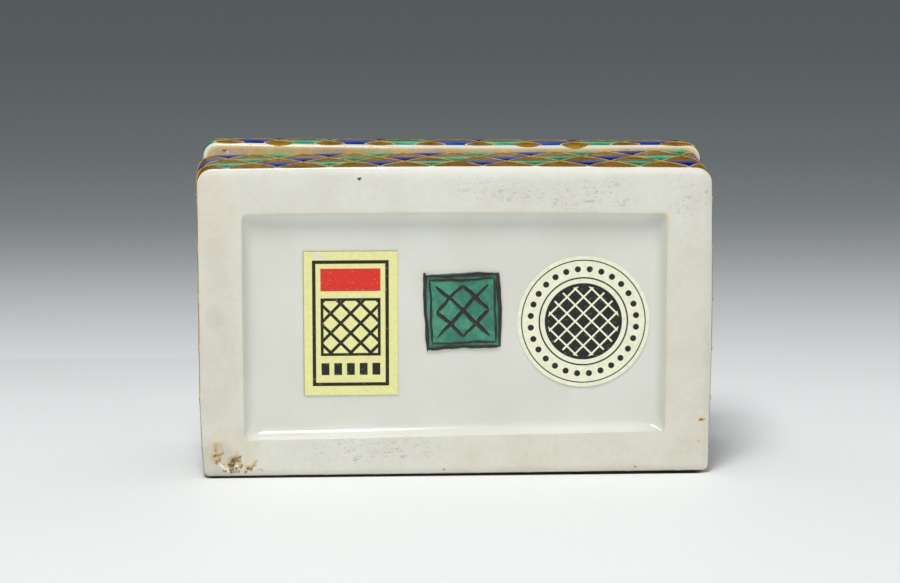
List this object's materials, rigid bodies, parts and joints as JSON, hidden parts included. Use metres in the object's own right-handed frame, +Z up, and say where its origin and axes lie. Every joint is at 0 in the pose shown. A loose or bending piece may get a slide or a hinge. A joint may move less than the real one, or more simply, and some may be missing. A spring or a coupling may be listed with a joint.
{
  "type": "incense box",
  "caption": "Low rectangular porcelain incense box with a wide unglazed foot ring, a lift-off lid over a raised lip, enamel-patterned walls and paper labels under the foot.",
  "frame": {"origin": "middle of the foot's flat underside, below the lid's middle", "axes": "+X along the box's length to the right, +Y from the front wall to the back wall, +Z up from the foot to the lid"},
  "size_m": [0.0802, 0.0506, 0.029],
  "materials": {
    "porcelain": "clear gloss glaze on white porcelain, bare and matt on the foot ring and the ledge",
    "lid_porcelain": "clear gloss glaze on white porcelain, bare and matt on the rim",
    "yellow_paper": "matt printed paper",
    "cream_paper": "matt printed paper",
    "green_enamel": "glossy fired enamel",
    "blue_enamel": "glossy fired enamel",
    "gold": "satin fired gold"
  },
  "bodies": {
    "tray": {"tray": "porcelain", "rectangular_label": "yellow_paper", "round_label": "cream_paper", "enamel_seal": "green_enamel"},
    "lid": {"lid": "lid_porcelain"}
  },
  "joints": [
    {"name": "lid_lift", "type": "slide", "parent": "tray", "child": "lid", "axis": [0, 0, 1], "range_m": [0, 0.04]}
  ]
}
